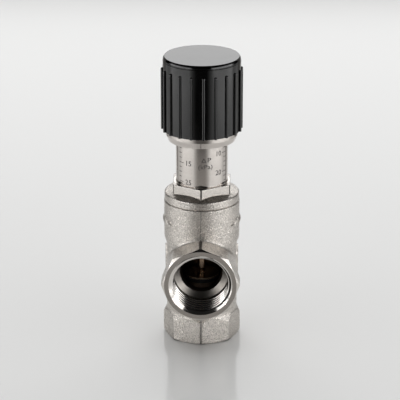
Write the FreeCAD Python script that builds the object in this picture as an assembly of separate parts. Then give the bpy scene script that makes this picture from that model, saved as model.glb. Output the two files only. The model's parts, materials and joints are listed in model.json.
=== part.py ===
import FreeCAD, Part
import math
import os

# Angle bypass valve, in millimetres. The origin is the centre of the inlet port's face, on the
# valve's axis. Z runs up that axis and the outlet port faces -Y. The valve is closed and the knob
# stands at the lowest setting, which is its highest place.

# Ports: a G 1/2 female thread in an octagonal boss, the same at the inlet and the outlet
THREAD_MAJOR_RADIUS = 10.48
THREAD_DEPTH = 1.16
THREAD_LENGTH = 9.04
THREAD_RUNOUT = 0.71
ENTRY_RELIEF = 0.26
ENTRY_DEPTH = 1.19
PORT_WALL = 1.81
PORT_BOSS_LENGTH = 7.45
PORT_BEVEL_LENGTH = 2.38
PORT_FACE_INSET = 0.08
PORT_CHAMFER_DEG = 30.0
FLASH_FLAT_WIDTH = 1.11
PASSAGE_STEP = 2.02
PORT_CONE_LENGTH = 1.17
INLET_RUN = 4.13
OUTLET_RUN = 2.48

# Valve seat, and the stem with its disc and rubber seal
SEAT_BORE_RADIUS = 4.91
SEAT_WALL = 2.3
CROWN_HEIGHT = 1.37
CROWN_LIP = 0.63
CROWN_FLARE = 0.79
DISC_OVERHANG = 0.32
DISC_ANNULUS = 1.51
DISC_THICKNESS = 0.48
SEAL_THICKNESS = 1.31
STEM_RADIUS = 1.39
STEM_CLEARANCE = 0.05
STEM_NECK_STEP = 0.44
STEM_NECK_LENGTH = 1.15
STEM_TAPER_LENGTH = 0.91
STUD_RADIUS = 1.25
STUD_CLEARANCE = 0.03
STUD_END = 0.48
CLAMP_WASHER_GAP = 1.11
CLAMP_WASHER_THICKNESS = 0.55
DISC_NUT_ACROSS_FLATS = 5.0
DISC_NUT_HEIGHT = 1.6
LIFT = 3.55

# Spring, its two seats, and the plug that closes its chamber
SPRING_MEAN_RADIUS = 5.23
WIRE_RADIUS = 0.32
SPRING_TURNS = 7
COIL_STEPS = 20
END_TURN_GAP = 0.08
SPRING_CLOSED_LENGTH = 6.9
SPRING_FIT = 0.24
SPRING_ROOM = 0.95
CLIP_GAP = 0.79
CLIP_THICKNESS = 0.48
CLIP_BITE = 0.36
CLIP_WIDTH = 1.35
CLIP_NIP = 0.16
SEAT_FLANGE = 0.95
SEAT_HUB = 1.74
STEM_TIP = 0.79
FOLLOWER_FLANGE = 1.19
FOLLOWER_HUB = 2.38
FOLLOWER_GAP = 0.24
PLUG_STEP = 0.75
PLUG_CLEARANCE = 0.05
PLUG_LENGTH = 4.76
PLUG_HEX_ACROSS_FLATS = 10.0
PLUG_HEX_HEIGHT = 2.06
SEAL_WASHER_THICKNESS = 0.63
STEM_RING_SECTION = 0.57
BONNET_RING_SECTION = 0.79
RING_SLACK = 0.03

# Bonnet: spigot, flange, hexagon and graduated tube
SPIGOT_WALL = 3.01
SPIGOT_LENGTH = 10.54
SPIGOT_CLEARANCE = 0.05
SOCKET_END_GAP = 0.79
FLANGE_STEP = 0.16
FLANGE_RIM = 2.85
FLANGE_SLOPE_DEG = 20.0
TUBE_WALL = 2.34
HEX_LEDGE = 0.87
HEX_TOP_RISE = 6.82
NUT_LENGTH = 9.12
NUT_STEP = 1.74

# Body: neck, waist and flared cup
CUP_WALL = 2.62
CUP_STEP = 0.79
CUP_RISE = 10.38
CUP_FLARE = 3.17
CUP_HEIGHT = 12.92
NECK_INSET = 0.24
NECK_FILLET = 1.19
EDGE_BREAK = 0.24

# Adjusting spindle, knob, cap, collar and the screw that holds the knob
TRAVEL = 13.5
SPINDLE_CLEARANCE = 0.05
SPINDLE_TIP = 0.55
STOP_RING_THICKNESS = 0.63
STOP_RING_BITE = 0.59
STOP_RING_ROOM = 0.87
STOP_RING_GAP = 2.38
DRIVE_SHOULDER = 0.46
DRIVE_CLEARANCE = 0.05
DRIVE_SHORTFALL = 0.16
KNOB_WALL = 2.06
KNOB_CEILING_GAP = 0.48
KNOB_WEB = 1.9
KNOB_SHOULDER_BEVEL = 0.16
RIB_COUNT = 20
RIB_RADIUS = 0.52
RIB_HEIGHT = 0.67
RIB_END_STEPS = 3
RIB_PHASE_DEG = -86.4
RIB_TOP_DROP = 2.62
CAP_INSET = 0.05
CAP_SEAT = 2.33
CAP_THICKNESS = 1.35
CAP_TOP = 0.71
CAP_RIM_WIDTH = 0.48
CAP_RIM_DEPTH = 1.27
CAP_LIP_WIDTH = 1.19
CAP_LIP_GAP = 0.32
CAP_CLEARANCE = 0.05
COLLAR_BORE_GAP = 0.24
COLLAR_WALL = 2.01
COLLAR_CLEARANCE = 0.02
COLLAR_INSET = 0.91
COLLAR_HEIGHT = 3.65
COLLAR_TAPER = 0.83
COLLAR_TAPER_HEIGHT = 2.06
COLLAR_SLEEVE = 4.76
COLLAR_STOP_GAP = 1.35
SCREW_RADIUS = 1.5
SCREW_LENGTH = 6.4
SCREW_CLEARANCE = 0.05
SCREW_HEAD_RADIUS = 2.85
SCREW_HEAD_HEIGHT = 1.51
SCREW_HEAD_GAP = 0.4
SCREW_SOCKET_ACROSS_FLATS = 2.0
SCREW_SOCKET_DEPTH = 0.9
KNOB_WASHER_INSET = 0.28
KNOB_WASHER_THICKNESS = 0.48

# How far a cutting shape runs past the face it cuts
OVERCUT = 1.0

# Sides of the prisms, and how the edges for the neck's fillet are told from the others
OCTAGON = 8
HEXAGON = 6
EDGE_SAMPLES = 7
EDGE_TOLERANCE = 0.003

# Radii, worked out from the thread, the seat and the spring outwards
ENTRY_RADIUS = THREAD_MAJOR_RADIUS + ENTRY_RELIEF
THREAD_MINOR_RADIUS = THREAD_MAJOR_RADIUS - THREAD_DEPTH
PASSAGE_RADIUS = THREAD_MINOR_RADIUS - PASSAGE_STEP
PORT_ACROSS_FLATS = 2 * (THREAD_MAJOR_RADIUS + PORT_WALL)
PORT_FACE_RADIUS = PORT_ACROSS_FLATS / 2 - PORT_FACE_INSET
CROWN_TOP_RADIUS = SEAT_BORE_RADIUS + CROWN_LIP
CROWN_BASE_RADIUS = CROWN_TOP_RADIUS + CROWN_FLARE
DISC_RADIUS = CROWN_TOP_RADIUS + DISC_OVERHANG
CHAMBER_RADIUS = DISC_RADIUS + DISC_ANNULUS
CLAMP_WASHER_RADIUS = SEAT_BORE_RADIUS - CLAMP_WASHER_GAP
STEM_RING_RADIUS = STEM_RADIUS + STEM_RING_SECTION + RING_SLACK
POCKET_RADIUS = STEM_RING_RADIUS + STEM_RING_SECTION + RING_SLACK
SPRING_HUB_RADIUS = SPRING_MEAN_RADIUS - WIRE_RADIUS - SPRING_FIT
SPRING_BORE_RADIUS = SPRING_MEAN_RADIUS + WIRE_RADIUS + SPRING_ROOM
PLUG_RADIUS = SPRING_BORE_RADIUS + PLUG_STEP
SPIGOT_RADIUS = PLUG_RADIUS + SPIGOT_WALL
SOCKET_RADIUS = SPIGOT_RADIUS + SPIGOT_CLEARANCE
BONNET_RING_RADIUS = SOCKET_RADIUS - BONNET_RING_SECTION / 2
CUP_RADIUS = SOCKET_RADIUS + CUP_WALL
WAIST_RADIUS = CUP_RADIUS - CUP_STEP
NECK_RADIUS = WAIST_RADIUS - NECK_INSET
FLANGE_RADIUS = CUP_RADIUS - FLANGE_STEP
TUBE_RADIUS = SPRING_BORE_RADIUS + TUBE_WALL
HEX_ACROSS_FLATS = 2 * (TUBE_RADIUS + HEX_LEDGE)
SPINDLE_RADIUS = SPRING_BORE_RADIUS - NUT_STEP - SPINDLE_CLEARANCE
DRIVE_SQUARE = math.sqrt(2) * (SPINDLE_RADIUS - DRIVE_SHOULDER)
COLLAR_BORE_RADIUS = TUBE_RADIUS + COLLAR_BORE_GAP
COLLAR_SLEEVE_RADIUS = COLLAR_BORE_RADIUS + COLLAR_WALL
KNOB_BORE_RADIUS = COLLAR_SLEEVE_RADIUS + COLLAR_CLEARANCE
KNOB_RADIUS = KNOB_BORE_RADIUS + KNOB_WALL
RIB_TIP_RADIUS = KNOB_RADIUS + RIB_HEIGHT
COLLAR_RADIUS = KNOB_RADIUS - COLLAR_INSET
CAP_RADIUS = KNOB_RADIUS - CAP_INSET
RECESS_RADIUS = CAP_RADIUS - CAP_SEAT
KNOB_WASHER_RADIUS = SPINDLE_RADIUS - KNOB_WASHER_INSET

# Depths of a port, from its face inwards
THREAD_START = ENTRY_DEPTH + ENTRY_RELIEF
THREAD_END = THREAD_START + THREAD_LENGTH
CONE_START = THREAD_END + THREAD_RUNOUT
CONE_END = CONE_START + PORT_CONE_LENGTH
PORT_REACH = CONE_END + OUTLET_RUN + CHAMBER_RADIUS

# Heights along the valve's axis, from the inlet face up
INLET_END_Z = CONE_END + INLET_RUN
FLOOR_Z = INLET_END_Z + SEAT_WALL
PORT_HEIGHT = FLOOR_Z + PASSAGE_RADIUS
SEAT_Z = FLOOR_Z + CROWN_HEIGHT
DISC_Z = SEAT_Z + SEAL_THICKNESS
DISC_TOP_Z = DISC_Z + DISC_THICKNESS
TAPER_Z = DISC_TOP_Z + STEM_NECK_LENGTH
CUP_Z = PORT_HEIGHT + CUP_RISE
BODY_TOP_Z = CUP_Z + CUP_HEIGHT
RING_GROOVE_Z = BODY_TOP_Z - 2 * (BONNET_RING_SECTION + RING_SLACK)
SPIGOT_Z = BODY_TOP_Z - SPIGOT_LENGTH
SOCKET_Z = SPIGOT_Z - SOCKET_END_GAP
PLUG_TOP_Z = SPIGOT_Z + PLUG_LENGTH
SEAL_WASHER_Z = PLUG_TOP_Z - SEAL_WASHER_THICKNESS
POCKET_Z = SEAL_WASHER_Z - 2 * (STEM_RING_SECTION + RING_SLACK)
CLIP_Z = PLUG_TOP_Z + CLIP_GAP
SEAT_PLATE_Z = CLIP_Z + CLIP_THICKNESS
SPRING_Z = SEAT_PLATE_Z + SEAT_FLANGE
SPRING_TOP_Z = SPRING_Z + SPRING_CLOSED_LENGTH + LIFT + TRAVEL
FOLLOWER_TOP_Z = SPRING_TOP_Z + FOLLOWER_FLANGE
STOP_RING_Z = FOLLOWER_TOP_Z + SPINDLE_TIP
NUT_Z = STOP_RING_Z + STOP_RING_THICKNESS
TUBE_TOP_Z = NUT_Z + NUT_LENGTH
HEX_TOP_Z = BODY_TOP_Z + HEX_TOP_RISE
COLLAR_Z = HEX_TOP_Z + TRAVEL + COLLAR_STOP_GAP
KNOB_Z = COLLAR_Z + COLLAR_HEIGHT
CEILING_Z = TUBE_TOP_Z + TRAVEL + KNOB_CEILING_GAP
RECESS_Z = CEILING_Z + KNOB_WEB
HEAD_Z = RECESS_Z + KNOB_WASHER_THICKNESS
CAP_TOP_Z = HEAD_Z + SCREW_HEAD_HEIGHT + SCREW_HEAD_GAP + CAP_TOP
SHOULDER_Z = CAP_TOP_Z - CAP_THICKNESS

UP = FreeCAD.Vector(0, 0, 1)
ORIGIN = FreeCAD.Vector(0, 0, 0)


def place(radius, height):
    """Point of a profile in the XZ plane."""
    return FreeCAD.Vector(radius, 0, height)


def turned(profile):
    """Solid of revolution about Z from (radius, height) corners."""
    points = [place(radius, height) for radius, height in profile]
    face = Part.Face(Part.makePolygon(points + points[:1]))
    return face.revolve(ORIGIN, UP, 360)


def turned_wire(corners, curves):
    """Solid of revolution about Z from a run of corners that curved edges close."""
    edges = [Part.LineSegment(a, b).toShape() for a, b in zip(corners, corners[1:])]
    return Part.Face(Part.Wire(edges + curves)).revolve(ORIGIN, UP, 360)


def ring(inner, outer, low, high):
    """Plain washer between two radii and two heights."""
    return turned([(inner, low), (outer, low), (outer, high), (inner, high)])


def rod(radius, low, high):
    """Plain cylinder on the valve's axis."""
    return Part.makeCylinder(radius, high - low, FreeCAD.Vector(0, 0, low))


def corner_radius(sides, across_flats):
    """Radius of the corners of a regular prism."""
    return across_flats / 2 / math.cos(math.pi / sides)


def prism(sides, across_flats, low, high, first_corner_deg):
    """Regular prism on the valve's axis, with one corner at the given angle from +X."""
    radius = corner_radius(sides, across_flats)
    points = []
    for index in range(sides + 1):
        angle = math.radians(first_corner_deg) + index * 2 * math.pi / sides
        points.append(FreeCAD.Vector(radius * math.cos(angle), radius * math.sin(angle), low))
    return Part.Face(Part.makePolygon(points)).extrude(UP * (high - low))


def block(size_x, size_y, low, high):
    """Box centred on the valve's axis."""
    corner = FreeCAD.Vector(-size_x / 2, -size_y / 2, low)
    return Part.makeBox(size_x, size_y, high - low, corner)


def open_ring(inner, outer, low, high, gap):
    """Snap ring: a flat ring with a gap towards +X."""
    slot = Part.makeBox(outer + OVERCUT, gap, high - low, FreeCAD.Vector(0, -gap / 2, low))
    return ring(inner, outer, low, high).cut(slot)


def at_outlet(shape):
    """Copy of a shape made on the inlet's axis, turned to the outlet's place."""
    placed = shape.copy()
    placed.rotate(ORIGIN, FreeCAD.Vector(1, 0, 0), -90)
    placed.translate(FreeCAD.Vector(0, -PORT_REACH, PORT_HEIGHT))
    return placed


def octagon_boss():
    """Forged octagon with a turned front chamfer, a bevelled back and two trimmed flash corners."""
    corner = corner_radius(OCTAGON, PORT_ACROSS_FLATS)
    wide = corner + OVERCUT
    front_slope = math.tan(math.radians(PORT_CHAMFER_DEG))
    back_slope = PORT_BEVEL_LENGTH / (corner - NECK_RADIUS)
    back = PORT_BOSS_LENGTH + PORT_BEVEL_LENGTH
    envelope = turned([
        (0, 0),
        (PORT_FACE_RADIUS, 0),
        (wide, (wide - PORT_FACE_RADIUS) * front_slope),
        (wide, PORT_BOSS_LENGTH - OVERCUT * back_slope),
        (NECK_RADIUS, back),
        (0, back),
    ])
    stock = prism(OCTAGON, PORT_ACROSS_FLATS, 0, back, 0)
    flash_depth = FLASH_FLAT_WIDTH / 2 * math.tan(math.pi / OCTAGON)
    trim = block(2 * wide, 2 * (corner - flash_depth), 0, back)
    return stock.common(envelope).common(trim)


def port_bore(passage_end):
    """Thread entry, thread, cone and passage of a port, from its face inwards."""
    return turned([
        (0, -OVERCUT),
        (ENTRY_RADIUS, -OVERCUT),
        (ENTRY_RADIUS, ENTRY_DEPTH),
        (THREAD_MAJOR_RADIUS, THREAD_START),
        (THREAD_MAJOR_RADIUS, THREAD_END),
        (THREAD_MINOR_RADIUS, THREAD_END),
        (THREAD_MINOR_RADIUS, CONE_START),
        (PASSAGE_RADIUS, CONE_END),
        (PASSAGE_RADIUS, passage_end),
        (0, passage_end),
    ])


def flare_edges():
    """Two equal tangent arcs that lead from the waist out to the cup."""
    radius = (CUP_STEP ** 2 + CUP_FLARE ** 2) / (4 * CUP_STEP)
    half_turn = math.asin(CUP_FLARE / 2 / radius) / 2
    outwards = radius * (1 - math.cos(half_turn))
    upwards = radius * math.sin(half_turn)
    low_z = CUP_Z - CUP_FLARE
    middle = place((WAIST_RADIUS + CUP_RADIUS) / 2, CUP_Z - CUP_FLARE / 2)
    lower_way = place(WAIST_RADIUS + outwards, low_z + upwards)
    upper_way = place(CUP_RADIUS - outwards, CUP_Z - upwards)
    lower = Part.Arc(place(WAIST_RADIUS, low_z), lower_way, middle)
    upper = Part.Arc(middle, upper_way, place(CUP_RADIUS, CUP_Z))
    return [lower.toShape(), upper.toShape()]


def barrel():
    """Waist and flared cup, with the seam of the turning at the back."""
    foot_z = PORT_BOSS_LENGTH / 2
    corners = [
        place(CUP_RADIUS, CUP_Z),
        place(CUP_RADIUS, BODY_TOP_Z - EDGE_BREAK),
        place(CUP_RADIUS - EDGE_BREAK, BODY_TOP_Z),
        place(0, BODY_TOP_Z),
        place(0, foot_z),
        place(WAIST_RADIUS, foot_z),
        place(WAIST_RADIUS, CUP_Z - CUP_FLARE),
    ]
    solid = turned_wire(corners, flare_edges())
    solid.rotate(ORIGIN, UP, 90)
    return solid


def on_neck(edge):
    """True for an edge where the outlet's neck leaves the barrel."""
    reach = [math.hypot(point.x, point.z - PORT_HEIGHT) for point in edge.discretize(EDGE_SAMPLES)]
    ahead = [-point.y for point in edge.discretize(EDGE_SAMPLES)]
    round_neck = max(abs(radius - NECK_RADIUS) for radius in reach) < EDGE_TOLERANCE
    return round_neck and 0 < min(ahead) and max(ahead) < CUP_RADIUS + EDGE_TOLERANCE


def body_outside():
    """Forging before machining: barrel, outlet neck with its fillet, and the two bosses."""
    neck = at_outlet(rod(NECK_RADIUS, PORT_BOSS_LENGTH, PORT_REACH))
    elbow = barrel().fuse(neck).removeSplitter()
    elbow = elbow.makeFillet(NECK_FILLET, [edge for edge in elbow.Edges if on_neck(edge)])
    boss = octagon_boss()
    return elbow.multiFuse([boss, at_outlet(boss)]).removeSplitter()


def valve_body():
    """Forged elbow with both threads, the seat crown and the bonnet's socket machined in."""
    crown = turned([
        (0, FLOOR_Z - OVERCUT),
        (CROWN_BASE_RADIUS, FLOOR_Z - OVERCUT),
        (CROWN_BASE_RADIUS, FLOOR_Z),
        (CROWN_TOP_RADIUS, SEAT_Z),
        (0, SEAT_Z),
    ])
    chamber = rod(CHAMBER_RADIUS, FLOOR_Z, SOCKET_Z + OVERCUT).cut(crown)
    outlet = at_outlet(port_bore(PORT_REACH)).cut(crown)
    inlet = port_bore(INLET_END_Z)
    seat_bore = rod(SEAT_BORE_RADIUS, INLET_END_Z - OVERCUT, SEAT_Z + OVERCUT)
    recess = BONNET_RING_RADIUS + BONNET_RING_SECTION + RING_SLACK
    socket = turned([
        (0, SOCKET_Z),
        (SOCKET_RADIUS, SOCKET_Z),
        (SOCKET_RADIUS, RING_GROOVE_Z),
        (recess, RING_GROOVE_Z),
        (recess, BODY_TOP_Z + OVERCUT),
        (0, BODY_TOP_Z + OVERCUT),
    ])
    return body_outside().cut([chamber, outlet, inlet, seat_bore, socket])


def bonnet():
    """Spigot, flange with a conical top, hexagon and tube, bored from below up to its nut."""
    groove = BONNET_RING_RADIUS - BONNET_RING_SECTION - RING_SLACK
    rim_z = BODY_TOP_Z + FLANGE_RIM
    cone_rise = (FLANGE_RADIUS - TUBE_RADIUS) * math.tan(math.radians(FLANGE_SLOPE_DEG))
    turning = turned([
        (0, SPIGOT_Z),
        (SPIGOT_RADIUS - EDGE_BREAK, SPIGOT_Z),
        (SPIGOT_RADIUS, SPIGOT_Z + EDGE_BREAK),
        (SPIGOT_RADIUS, RING_GROOVE_Z),
        (groove, RING_GROOVE_Z),
        (groove, BODY_TOP_Z),
        (FLANGE_RADIUS - EDGE_BREAK, BODY_TOP_Z),
        (FLANGE_RADIUS, BODY_TOP_Z + EDGE_BREAK),
        (FLANGE_RADIUS, rim_z - EDGE_BREAK),
        (FLANGE_RADIUS - EDGE_BREAK, rim_z),
        (TUBE_RADIUS, rim_z + cone_rise),
        (TUBE_RADIUS, TUBE_TOP_Z - EDGE_BREAK),
        (TUBE_RADIUS - EDGE_BREAK, TUBE_TOP_Z),
        (0, TUBE_TOP_Z),
    ])
    hexagon = prism(HEXAGON, HEX_ACROSS_FLATS, BODY_TOP_Z + FLANGE_RIM / 2, HEX_TOP_Z, -90)
    bore = turned([
        (0, SPIGOT_Z - OVERCUT),
        (PLUG_RADIUS + PLUG_CLEARANCE, SPIGOT_Z - OVERCUT),
        (PLUG_RADIUS + PLUG_CLEARANCE, PLUG_TOP_Z),
        (SPRING_BORE_RADIUS, PLUG_TOP_Z),
        (SPRING_BORE_RADIUS, NUT_Z),
        (SPINDLE_RADIUS + SPINDLE_CLEARANCE, NUT_Z),
        (SPINDLE_RADIUS + SPINDLE_CLEARANCE, TUBE_TOP_Z + OVERCUT),
        (0, TUBE_TOP_Z + OVERCUT),
    ])
    return turning.fuse(hexagon).cut(bore).removeSplitter()


def bonnet_seal():
    """O-ring in the groove under the bonnet's flange."""
    centre = FreeCAD.Vector(0, 0, BODY_TOP_Z - BONNET_RING_SECTION - RING_SLACK)
    return Part.makeTorus(BONNET_RING_RADIUS, BONNET_RING_SECTION, centre)


def guide_plug():
    """Screwed plug with a hexagon below, a guide hole and a pocket for the stem's O-ring."""
    plug = rod(PLUG_RADIUS, SPIGOT_Z, PLUG_TOP_Z)
    hexagon_z = SPIGOT_Z - PLUG_HEX_HEIGHT
    hexagon = prism(HEXAGON, PLUG_HEX_ACROSS_FLATS, hexagon_z, SPIGOT_Z, 0)
    hole = rod(STEM_RADIUS + STEM_CLEARANCE, hexagon_z - OVERCUT, PLUG_TOP_Z)
    pocket = rod(POCKET_RADIUS, POCKET_Z, PLUG_TOP_Z + OVERCUT)
    return plug.fuse(hexagon).cut([hole, pocket])


def stem_seal():
    """O-ring round the stem, in the plug's pocket."""
    centre = FreeCAD.Vector(0, 0, POCKET_Z + STEM_RING_SECTION + RING_SLACK)
    return Part.makeTorus(STEM_RING_RADIUS, STEM_RING_SECTION, centre)


def seal_washer():
    """Washer pressed into the mouth of the plug's pocket."""
    return ring(STEM_RADIUS + STEM_CLEARANCE, POCKET_RADIUS, SEAL_WASHER_Z, PLUG_TOP_Z)


def stem():
    """Turned stem: tip, clip groove, shank, taper, thin neck, disc and the stud under it."""
    stud_z = SEAT_Z - CLAMP_WASHER_THICKNESS - DISC_NUT_HEIGHT - STUD_END
    tip_z = SPRING_Z + SEAT_HUB + STEM_TIP
    neck = STEM_RADIUS - STEM_NECK_STEP
    groove = STEM_RADIUS - CLIP_BITE
    return turned([
        (0, stud_z),
        (STUD_RADIUS, stud_z),
        (STUD_RADIUS, DISC_Z),
        (DISC_RADIUS, DISC_Z),
        (DISC_RADIUS, DISC_TOP_Z),
        (neck, DISC_TOP_Z),
        (neck, TAPER_Z),
        (STEM_RADIUS, TAPER_Z + STEM_TAPER_LENGTH),
        (STEM_RADIUS, CLIP_Z),
        (groove, CLIP_Z),
        (groove, SEAT_PLATE_Z),
        (STEM_RADIUS, SEAT_PLATE_Z),
        (STEM_RADIUS, tip_z - EDGE_BREAK),
        (STEM_RADIUS - EDGE_BREAK, tip_z),
        (0, tip_z),
    ])


def disc_seal():
    """Rubber ring under the disc, resting on the seat's crown."""
    return ring(STUD_RADIUS + STUD_CLEARANCE, DISC_RADIUS, SEAT_Z, DISC_Z)


def clamp_washer():
    """Washer that clamps the rubber ring, inside the seat's bore."""
    low = SEAT_Z - CLAMP_WASHER_THICKNESS
    return ring(STUD_RADIUS + STUD_CLEARANCE, CLAMP_WASHER_RADIUS, low, SEAT_Z)


def disc_nut():
    """Hexagon nut on the stud under the clamp washer."""
    high = SEAT_Z - CLAMP_WASHER_THICKNESS
    low = high - DISC_NUT_HEIGHT
    nut = prism(HEXAGON, DISC_NUT_ACROSS_FLATS, low, high, 0)
    return nut.cut(rod(STUD_RADIUS + STUD_CLEARANCE, low - OVERCUT, high + OVERCUT))


def stem_clip():
    """Clip in the stem's groove that carries the lower spring seat."""
    inner = STEM_RADIUS - CLIP_BITE
    gap = 2 * (inner - CLIP_NIP)
    return open_ring(inner, STEM_RADIUS + CLIP_WIDTH, CLIP_Z, SEAT_PLATE_Z, gap)


def lower_spring_seat():
    """Flanged seat on the stem, with a hub that centres the spring."""
    hole = STEM_RADIUS + STUD_CLEARANCE
    flange = SPRING_MEAN_RADIUS + WIRE_RADIUS + SPRING_FIT
    return turned([
        (hole, SEAT_PLATE_Z),
        (flange, SEAT_PLATE_Z),
        (flange, SPRING_Z),
        (SPRING_HUB_RADIUS, SPRING_Z),
        (SPRING_HUB_RADIUS - EDGE_BREAK, SPRING_Z + SEAT_HUB),
        (hole, SPRING_Z + SEAT_HUB),
    ])


def coil_height(turn):
    """Height of the wire's middle after so many turns: a closed turn at each end, an even rise between."""
    low = SPRING_Z + WIRE_RADIUS
    high = SPRING_TOP_Z - WIRE_RADIUS
    end_rise = 2 * WIRE_RADIUS + END_TURN_GAP
    if turn <= 1:
        return low + end_rise * turn
    if turn >= SPRING_TURNS - 1:
        return high - end_rise * (SPRING_TURNS - turn)
    open_rise = (high - low - 2 * end_rise) / (SPRING_TURNS - 2)
    return low + end_rise + open_rise * (turn - 1)


def coil_section(turn):
    """Section of the wire after so many turns, as a closed octagon."""
    angle = 2 * math.pi * turn
    corners = []
    for index in range(OCTAGON + 1):
        lean = math.pi / 2 + index * 2 * math.pi / OCTAGON
        radius = SPRING_MEAN_RADIUS + WIRE_RADIUS * math.cos(lean)
        height = coil_height(turn) + WIRE_RADIUS * math.sin(lean)
        corners.append(FreeCAD.Vector(radius * math.cos(angle), radius * math.sin(angle), height))
    return Part.makePolygon(corners)


def pressure_spring():
    """Compression spring at its length for the lowest setting, lofted in short lengths of wire."""
    stations = range(SPRING_TURNS * COIL_STEPS + 1)
    sections = [coil_section(station / COIL_STEPS) for station in stations]
    return Part.makeLoft(sections, True, True)


def spring_follower():
    """Upper spring seat that slides in the tube under the spindle."""
    flange = SPRING_BORE_RADIUS - FOLLOWER_GAP
    hub_z = SPRING_TOP_Z - FOLLOWER_HUB
    return turned([
        (0, hub_z),
        (SPRING_HUB_RADIUS - EDGE_BREAK, hub_z),
        (SPRING_HUB_RADIUS, SPRING_TOP_Z),
        (flange, SPRING_TOP_Z),
        (flange, FOLLOWER_TOP_Z),
        (0, FOLLOWER_TOP_Z),
    ])


def adjusting_spindle():
    """Threaded spindle with a stop ring groove below and a tapped square drive on top."""
    groove = SPINDLE_RADIUS - STOP_RING_BITE
    shank = turned([
        (0, FOLLOWER_TOP_Z),
        (SPINDLE_RADIUS, FOLLOWER_TOP_Z),
        (SPINDLE_RADIUS, STOP_RING_Z),
        (groove, STOP_RING_Z),
        (groove, NUT_Z),
        (SPINDLE_RADIUS, NUT_Z),
        (SPINDLE_RADIUS, CEILING_Z),
        (0, CEILING_Z),
    ])
    drive_z = RECESS_Z - DRIVE_SHORTFALL
    drive = block(DRIVE_SQUARE, DRIVE_SQUARE, CEILING_Z - OVERCUT, drive_z)
    hole_z = HEAD_Z - SCREW_LENGTH - SCREW_RADIUS
    tapped = rod(SCREW_RADIUS + SCREW_CLEARANCE, hole_z, drive_z + OVERCUT)
    return shank.fuse(drive).cut(tapped).removeSplitter()


def spindle_stop_ring():
    """Snap ring that meets the nut's lower face when the knob is right up."""
    inner = SPINDLE_RADIUS - STOP_RING_BITE
    outer = SPRING_BORE_RADIUS - STOP_RING_ROOM
    return open_ring(inner, outer, STOP_RING_Z, NUT_Z, STOP_RING_GAP)


def knob_ribs():
    """Round ribs up the knob's wall, each with a round end at its top and its seam inside the wall."""
    round_z = SHOULDER_Z - RIB_TOP_DROP - RIB_RADIUS
    profile = [(0, KNOB_Z), (RIB_RADIUS, KNOB_Z)]
    for step in range(RIB_END_STEPS + 1):
        lean = step * math.pi / 2 / RIB_END_STEPS
        profile.append((RIB_RADIUS * math.cos(lean), round_z + RIB_RADIUS * math.sin(lean)))
    first = turned(profile)
    first.rotate(ORIGIN, UP, 180)
    first.translate(place(RIB_TIP_RADIUS - RIB_RADIUS, 0))
    ribs = []
    for index in range(RIB_COUNT):
        rib = first.copy()
        rib.rotate(ORIGIN, UP, RIB_PHASE_DEG + index * 360 / RIB_COUNT)
        ribs.append(rib)
    return ribs


def knob():
    """Moulded sleeve with its ribs, a web with a square hole and a recess for the cap."""
    shell = turned([
        (KNOB_BORE_RADIUS, KNOB_Z),
        (KNOB_RADIUS, KNOB_Z),
        (KNOB_RADIUS, SHOULDER_Z - KNOB_SHOULDER_BEVEL),
        (KNOB_RADIUS - KNOB_SHOULDER_BEVEL, SHOULDER_Z),
        (RECESS_RADIUS, SHOULDER_Z),
        (RECESS_RADIUS, RECESS_Z),
        (0, RECESS_Z),
        (0, CEILING_Z),
        (KNOB_BORE_RADIUS, CEILING_Z),
    ])
    hole_side = DRIVE_SQUARE + 2 * DRIVE_CLEARANCE
    drive_hole = block(hole_side, hole_side, CEILING_Z - OVERCUT, RECESS_Z + OVERCUT)
    return shell.multiFuse(knob_ribs()).cut(drive_hole).removeSplitter()


def knob_cap():
    """Disc with a rounded rim that closes the knob, hollow over the screw's head, with a lip below."""
    hollow_z = CAP_TOP_Z - CAP_TOP
    lip = RECESS_RADIUS - CAP_CLEARANCE
    lip_z = RECESS_Z + CAP_LIP_GAP
    rim_z = CAP_TOP_Z - CAP_RIM_DEPTH
    rim_radius = (CAP_RIM_WIDTH ** 2 + CAP_RIM_DEPTH ** 2) / (2 * CAP_RIM_WIDTH)
    half_turn = math.asin(CAP_RIM_DEPTH / rim_radius) / 2
    inwards = rim_radius * (1 - math.cos(half_turn))
    rim_way = place(CAP_RADIUS - inwards, rim_z + rim_radius * math.sin(half_turn))
    corners = [
        place(CAP_RADIUS - CAP_RIM_WIDTH, CAP_TOP_Z),
        place(0, CAP_TOP_Z),
        place(0, hollow_z),
        place(lip - CAP_LIP_WIDTH, hollow_z),
        place(lip - CAP_LIP_WIDTH, lip_z),
        place(lip, lip_z),
        place(lip, SHOULDER_Z),
        place(CAP_RADIUS, SHOULDER_Z),
        place(CAP_RADIUS, rim_z),
    ]
    rim = Part.Arc(corners[-1], rim_way, corners[0]).toShape()
    return turned_wire(corners, [rim])


def pointer_collar():
    """Plated ring whose tapered lower edge reads the scale, with a sleeve up inside the knob."""
    sleeve_z = KNOB_Z + COLLAR_SLEEVE
    return turned([
        (COLLAR_BORE_RADIUS, COLLAR_Z),
        (COLLAR_RADIUS - COLLAR_TAPER, COLLAR_Z),
        (COLLAR_RADIUS, COLLAR_Z + COLLAR_TAPER_HEIGHT),
        (COLLAR_RADIUS, KNOB_Z),
        (COLLAR_SLEEVE_RADIUS, KNOB_Z),
        (COLLAR_SLEEVE_RADIUS, sleeve_z),
        (COLLAR_BORE_RADIUS, sleeve_z),
    ])


def knob_screw():
    """Socket head screw down into the spindle."""
    top_z = HEAD_Z + SCREW_HEAD_HEIGHT
    head = rod(SCREW_HEAD_RADIUS, HEAD_Z, top_z)
    shank = rod(SCREW_RADIUS, HEAD_Z - SCREW_LENGTH, HEAD_Z)
    socket = prism(HEXAGON, SCREW_SOCKET_ACROSS_FLATS, top_z - SCREW_SOCKET_DEPTH, top_z + OVERCUT, 0)
    return head.fuse(shank).cut(socket)


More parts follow.
